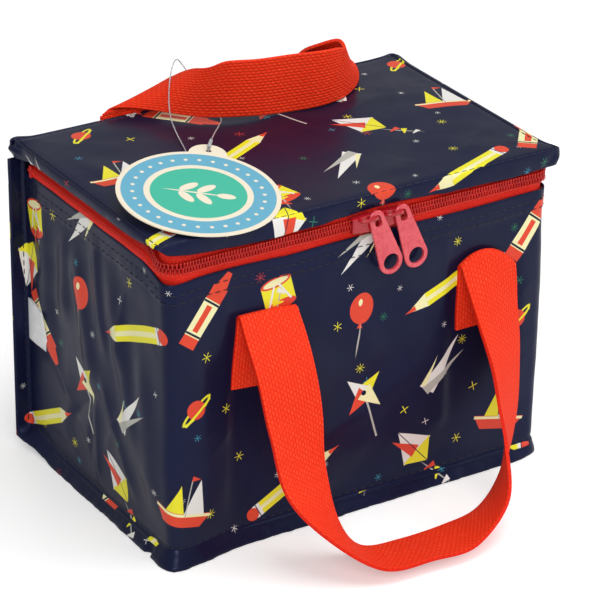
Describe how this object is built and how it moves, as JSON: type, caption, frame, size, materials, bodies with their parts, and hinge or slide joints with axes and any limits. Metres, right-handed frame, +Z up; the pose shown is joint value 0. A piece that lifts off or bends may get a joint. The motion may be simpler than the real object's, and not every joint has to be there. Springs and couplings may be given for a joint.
{
  "type": "insulated lunch bag",
  "caption": "Small insulated lunch bag with a zipped lid hinged at the back, two webbing handles and a round swing tag on a thread.",
  "frame": {"origin": "middle of the base, on the surface the bag stands on", "axes": "+Z up, -Y towards the front, +X to the right seen from the front"},
  "size_m": [0.221, 0.2073, 0.1912],
  "materials": {
    "shell": "laminated woven sheet, dark navy with a small scattered print, glossy",
    "foam": "closed-cell foam",
    "foil": "silver foil film",
    "zip_tape": "fine woven red tape",
    "zip_coil": "dark red moulded coil",
    "zip_slider": "crimson enamel",
    "webbing": "coarse woven orange-red webbing",
    "tag_card": "printed card with rings in cream, light blue and green",
    "thread": "clear moulded thread",
    "label": "blank white woven tape"
  },
  "bodies": {
    "bag": {"wrap_panel": "shell", "back_panel": "shell", "base_panel": "shell", "foam_front": "foam", "foam_back": "foam", "foam_left": "foam", "foam_right": "foam", "foam_base": "foam", "foil_lining": "foil", "lower_zip_tape": "zip_tape", "lower_zip_teeth": "zip_coil", "lower_zip_stops": "zip_coil", "front_handle_end_left": "webbing", "front_handle_end_right": "webbing", "back_handle_end_left": "webbing", "back_handle_end_right": "webbing", "side_label": "label"},
    "lid": {"lid_panel": "shell", "lid_foam": "foam", "lid_lining": "foil", "hinge_strip": "shell", "upper_zip_tape": "zip_tape", "upper_zip_teeth": "zip_coil", "upper_zip_stops": "zip_coil", "back_handle_riser_left": "webbing", "back_handle_riser_right": "webbing"},
    "front_handle": {"front_handle": "webbing"},
    "back_handle": {"back_handle": "webbing"},
    "tag_thread": {"tag_thread": "thread", "thread_barb": "thread"},
    "swing_tag": {"swing_tag": "tag_card"},
    "left_slider": {"left_slider": "zip_slider"},
    "right_slider": {"right_slider": "zip_slider"},
    "left_pull": {"left_pull": "zip_slider"},
    "right_pull": {"right_pull": "zip_slider"}
  },
  "joints": [
    {"name": "lid_hinge", "type": "hinge", "parent": "bag", "child": "lid", "pos_m": [0, 0.067, 0.147], "axis": [-1, 0, 0], "range_deg": [0, 105]},
    {"name": "front_handle_swing", "type": "hinge", "parent": "bag", "child": "front_handle", "pos_m": [0, -0.06975, 0.115], "axis": [-1, 0, 0], "range_deg": [0, 100]},
    {"name": "back_handle_swing", "type": "hinge", "parent": "lid", "child": "back_handle", "pos_m": [0, 0.0699, 0.1614], "axis": [-1, 0, 0], "range_deg": [0, 90], "deforming": ["tag_thread"]},
    {"name": "thread_follow", "type": "hinge", "parent": "back_handle", "child": "tag_thread", "pos_m": [-0.0165, 0.0395, 0.1888], "axis": [1, 0, 0], "range_deg": [0, 90], "deforming": ["tag_thread"]},
    {"name": "tag_swing", "type": "hinge", "parent": "tag_thread", "child": "swing_tag", "pos_m": [-0.0453, -0.0063, 0.1683], "axis": [-0.801, 0.5907, 0.0972], "range_deg": [0, 45]},
    {"name": "left_zip", "type": "slide", "parent": "bag", "child": "left_slider", "axis": [-1, 0, 0], "range_m": [0, 0.086]},
    {"name": "right_zip", "type": "slide", "parent": "bag", "child": "right_slider", "axis": [1, 0, 0], "range_m": [0, 0.076]},
    {"name": "left_pull_swing", "type": "hinge", "parent": "left_slider", "child": "left_pull", "pos_m": [0.0034, -0.07355, 0.1501], "axis": [0, 1, 0], "range_deg": [0, 45]},
    {"name": "right_pull_swing", "type": "hinge", "parent": "right_slider", "child": "right_pull", "pos_m": [0.0171, -0.07355, 0.1501], "axis": [0, -1, 0], "range_deg": [0, 60]}
  ],
  "couplings": [
    {"joint": "thread_follow", "follows": "back_handle_swing", "ratio": 1}
  ]
}
